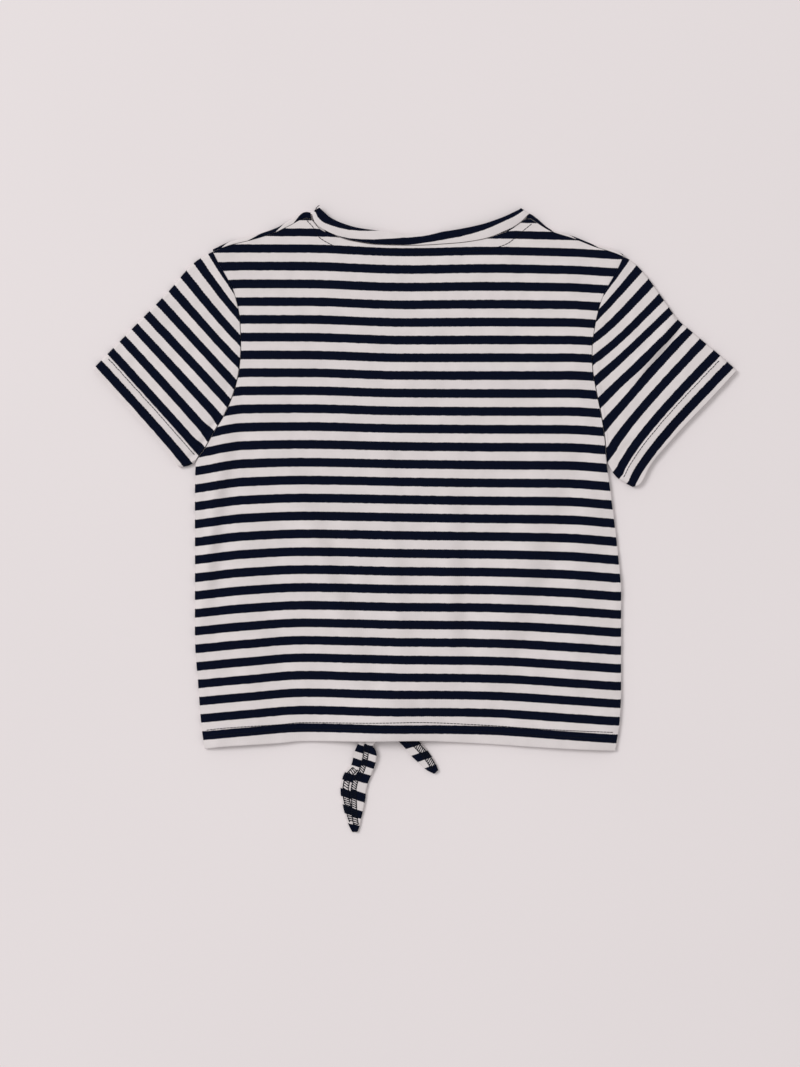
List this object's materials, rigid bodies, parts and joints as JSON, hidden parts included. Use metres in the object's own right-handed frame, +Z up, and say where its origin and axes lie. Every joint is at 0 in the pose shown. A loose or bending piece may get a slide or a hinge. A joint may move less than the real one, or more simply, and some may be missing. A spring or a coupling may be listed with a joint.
{
  "type": "girl's tie-front short sleeve t-shirt, laid flat",
  "caption": "Short sleeve jersey T-shirt with a knotted front hem, laid flat on its front, for dressing a bed, shelf or table.",
  "frame": {"origin": "on the surface, under the middle of the box round the whole garment", "axes": "+X to the right seen from above, +Y towards the neck, +Z up from the surface"},
  "size_m": [0.5774, 0.5614, 0.0138],
  "materials": {
    "body_jersey": "navy and off-white yarn-dyed stripes, soft cotton jersey",
    "sleeve_jersey": "navy and off-white yarn-dyed stripes, soft cotton jersey",
    "neckband_jersey": "folded strip of the striped jersey",
    "tie_jersey": "wrong side of the striped jersey, edges overlocked"
  },
  "bodies": {
    "root": {"back_panel": "body_jersey", "front_panel": "body_jersey", "sleeve_left": "sleeve_jersey", "sleeve_right": "sleeve_jersey", "neckband": "neckband_jersey", "tie_left": "tie_jersey", "tie_right": "tie_jersey", "knot": "tie_jersey"}
  },
  "joints": []
}
